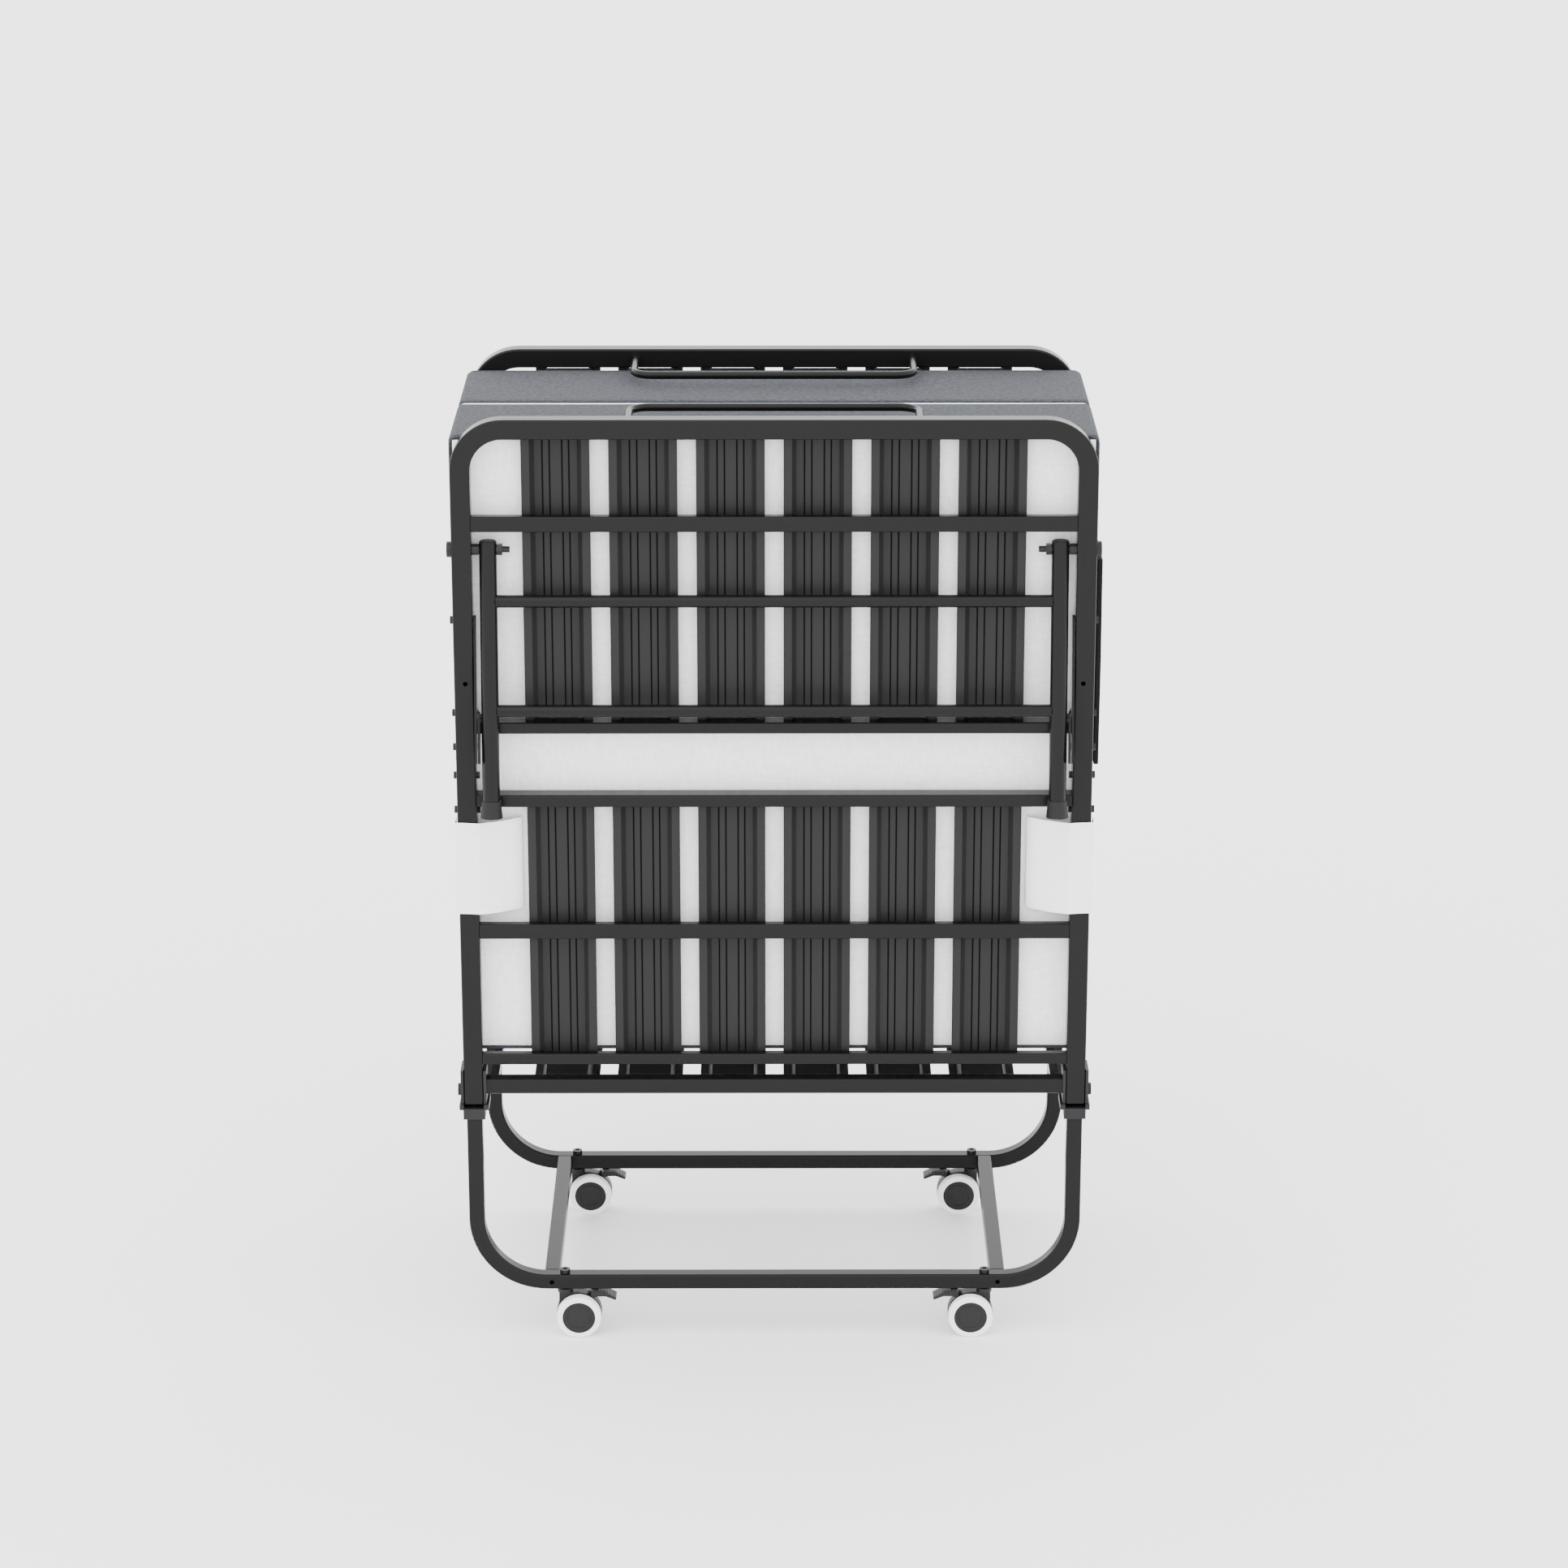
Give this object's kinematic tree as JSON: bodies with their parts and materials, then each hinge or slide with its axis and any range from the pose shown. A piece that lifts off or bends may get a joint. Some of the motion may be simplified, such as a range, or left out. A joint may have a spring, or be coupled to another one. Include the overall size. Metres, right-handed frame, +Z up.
{
  "type": "folding cot",
  "caption": "Rollaway cot on casters, shown folded: slatted panels, fold-out legs with stays, and a foam mattress between them.",
  "frame": {"origin": "on the floor under the middle of the folded cot", "axes": "+Z up, X across the cot, -Y towards the front panel"},
  "size_m": [0.8185, 0.4914, 1.23],
  "materials": {
    "charcoal_tube": "satin",
    "dark_plastic": "matte",
    "black_steel": "satin",
    "black_rubber": "matte",
    "white_tyre": "matte",
    "grey_linen": "woven",
    "white_webbing": "woven",
    "black_cloth": "woven"
  },
  "bodies": {
    "base": {"base_leg_front": "charcoal_tube", "base_leg_rear": "charcoal_tube", "base_side_bar_left": "charcoal_tube", "base_side_bar_right": "charcoal_tube", "axle_rail_front": "charcoal_tube", "axle_rail_rear": "charcoal_tube", "pivot_bolts": "black_steel", "caster_bolts": "black_steel", "middle_bar_left": "charcoal_tube", "middle_bar_right": "charcoal_tube", "middle_slats": "charcoal_tube", "hinge_bracket_front_left": "dark_plastic", "hinge_bracket_front_right": "dark_plastic", "hinge_bracket_rear_left": "dark_plastic", "hinge_bracket_rear_right": "dark_plastic"},
    "front_panel": {"front_side_frame": "charcoal_tube", "front_rails": "charcoal_tube", "front_slats_upper": "charcoal_tube", "front_slats_lower": "charcoal_tube", "front_mattress_loop": "charcoal_tube", "front_mattress": "grey_linen", "front_straps": "white_webbing", "front_frame_bolts": "black_steel", "side_pocket": "black_cloth"},
    "front_leg": {"front_leg_frame": "charcoal_tube", "front_leg_feet": "black_rubber", "front_leg_plugs": "black_rubber"},
    "front_upper_stays": {"front_stay_upper": "charcoal_tube"},
    "front_lower_stays": {"front_stay_lower": "charcoal_tube"},
    "caster_front_left": {"caster_front_left_housing": "dark_plastic"},
    "caster_front_left_wheels": {"caster_front_left_tyres": "white_tyre", "caster_front_left_hubs": "dark_plastic"},
    "caster_front_left_brake": {"caster_front_left_pedal": "dark_plastic"},
    "caster_front_right": {"caster_front_right_housing": "dark_plastic"},
    "caster_front_right_wheels": {"caster_front_right_tyres": "white_tyre", "caster_front_right_hubs": "dark_plastic"},
    "caster_front_right_brake": {"caster_front_right_pedal": "dark_plastic"},
    "rear_panel": {"rear_side_frame": "charcoal_tube", "rear_rails": "charcoal_tube", "rear_slats_upper": "charcoal_tube", "rear_slats_lower": "charcoal_tube", "rear_mattress_loop": "charcoal_tube", "rear_mattress": "grey_linen", "rear_straps": "white_webbing", "rear_frame_bolts": "black_steel"},
    "rear_leg": {"rear_leg_frame": "charcoal_tube", "rear_leg_feet": "black_rubber", "rear_leg_plugs": "black_rubber"},
    "rear_upper_stays": {"rear_stay_upper": "charcoal_tube"},
    "rear_lower_stays": {"rear_stay_lower": "charcoal_tube"},
    "caster_rear_left": {"caster_rear_left_housing": "dark_plastic"},
    "caster_rear_left_wheels": {"caster_rear_left_tyres": "white_tyre", "caster_rear_left_hubs": "dark_plastic"},
    "caster_rear_left_brake": {"caster_rear_left_pedal": "dark_plastic"},
    "caster_rear_right": {"caster_rear_right_housing": "dark_plastic"},
    "caster_rear_right_wheels": {"caster_rear_right_tyres": "white_tyre", "caster_rear_right_hubs": "dark_plastic"},
    "caster_rear_right_brake": {"caster_rear_right_pedal": "dark_plastic"}
  },
  "joints": [
    {"name": "front_panel_fold", "type": "hinge", "parent": "base", "child": "front_panel", "pos_m": [0, -0.195, 0.342], "axis": [1, 0, 0], "range_deg": [0, 90]},
    {"name": "front_leg_fold", "type": "hinge", "parent": "front_panel", "child": "front_leg", "pos_m": [0, -0.195, 1.063], "axis": [-1, 0, 0], "range_deg": [0, 83.8]},
    {"name": "front_upper_stay_turn", "type": "hinge", "parent": "front_panel", "child": "front_upper_stays", "pos_m": [0, -0.195, 0.972], "axis": [-1, 0, 0], "range_deg": [0, 102.57]},
    {"name": "front_lower_stay_turn", "type": "hinge", "parent": "front_leg", "child": "front_lower_stays", "pos_m": [0, -0.21779, 0.85323], "axis": [-1, 0, 0], "range_deg": [-161.43, 0]},
    {"name": "caster_front_left_swivel", "type": "hinge", "parent": "base", "child": "caster_front_left", "pos_m": [-0.274, -0.198, 0.06], "axis": [0, 0, 1], "continuous": true},
    {"name": "caster_front_left_roll", "type": "hinge", "parent": "caster_front_left", "child": "caster_front_left_wheels", "pos_m": [-0.256, -0.198, 0.029], "axis": [0, 1, 0], "continuous": true},
    {"name": "caster_front_left_brake_press", "type": "hinge", "parent": "caster_front_left", "child": "caster_front_left_brake", "pos_m": [-0.236, -0.198, 0.0575], "axis": [0, 1, 0], "range_deg": [0, 6]},
    {"name": "caster_front_right_swivel", "type": "hinge", "parent": "base", "child": "caster_front_right", "pos_m": [0.274, -0.198, 0.06], "axis": [0, 0, 1], "continuous": true},
    {"name": "caster_front_right_roll", "type": "hinge", "parent": "caster_front_right", "child": "caster_front_right_wheels", "pos_m": [0.256, -0.198, 0.029], "axis": [0, 1, 0], "continuous": true},
    {"name": "caster_front_right_brake_press", "type": "hinge", "parent": "caster_front_right", "child": "caster_front_right_brake", "pos_m": [0.236, -0.198, 0.0575], "axis": [0, -1, 0], "range_deg": [0, 6]},
    {"name": "rear_panel_fold", "type": "hinge", "parent": "base", "child": "rear_panel", "pos_m": [0, 0.195, 0.342], "axis": [-1, 0, 0], "range_deg": [0, 90]},
    {"name": "rear_leg_fold", "type": "hinge", "parent": "rear_panel", "child": "rear_leg", "pos_m": [0, 0.195, 1.063], "axis": [1, 0, 0], "range_deg": [0, 83.8]},
    {"name": "rear_upper_stay_turn", "type": "hinge", "parent": "rear_panel", "child": "rear_upper_stays", "pos_m": [0, 0.195, 0.972], "axis": [1, 0, 0], "range_deg": [0, 102.57]},
    {"name": "rear_lower_stay_turn", "type": "hinge", "parent": "rear_leg", "child": "rear_lower_stays", "pos_m": [0, 0.21779, 0.85323], "axis": [1, 0, 0], "range_deg": [-161.43, 0]},
    {"name": "caster_rear_left_swivel", "type": "hinge", "parent": "base", "child": "caster_rear_left", "pos_m": [-0.274, 0.198, 0.06], "axis": [0, 0, 1], "continuous": true},
    {"name": "caster_rear_left_roll", "type": "hinge", "parent": "caster_rear_left", "child": "caster_rear_left_wheels", "pos_m": [-0.256, 0.198, 0.029], "axis": [0, 1, 0], "continuous": true},
    {"name": "caster_rear_left_brake_press", "type": "hinge", "parent": "caster_rear_left", "child": "caster_rear_left_brake", "pos_m": [-0.236, 0.198, 0.0575], "axis": [0, 1, 0], "range_deg": [0, 6]},
    {"name": "caster_rear_right_swivel", "type": "hinge", "parent": "base", "child": "caster_rear_right", "pos_m": [0.274, 0.198, 0.06], "axis": [0, 0, 1], "continuous": true},
    {"name": "caster_rear_right_roll", "type": "hinge", "parent": "caster_rear_right", "child": "caster_rear_right_wheels", "pos_m": [0.256, 0.198, 0.029], "axis": [0, 1, 0], "continuous": true},
    {"name": "caster_rear_right_brake_press", "type": "hinge", "parent": "caster_rear_right", "child": "caster_rear_right_brake", "pos_m": [0.236, 0.198, 0.0575], "axis": [0, -1, 0], "range_deg": [0, 6]}
  ],
  "couplings": [
    {"joint": "front_upper_stay_turn", "follows": "front_leg_fold", "ratio": 1.2228},
    {"joint": "front_lower_stay_turn", "follows": "front_leg_fold", "ratio": -1.9252},
    {"joint": "rear_upper_stay_turn", "follows": "rear_leg_fold", "ratio": 1.2228},
    {"joint": "rear_lower_stay_turn", "follows": "rear_leg_fold", "ratio": -1.9252}
  ]
}
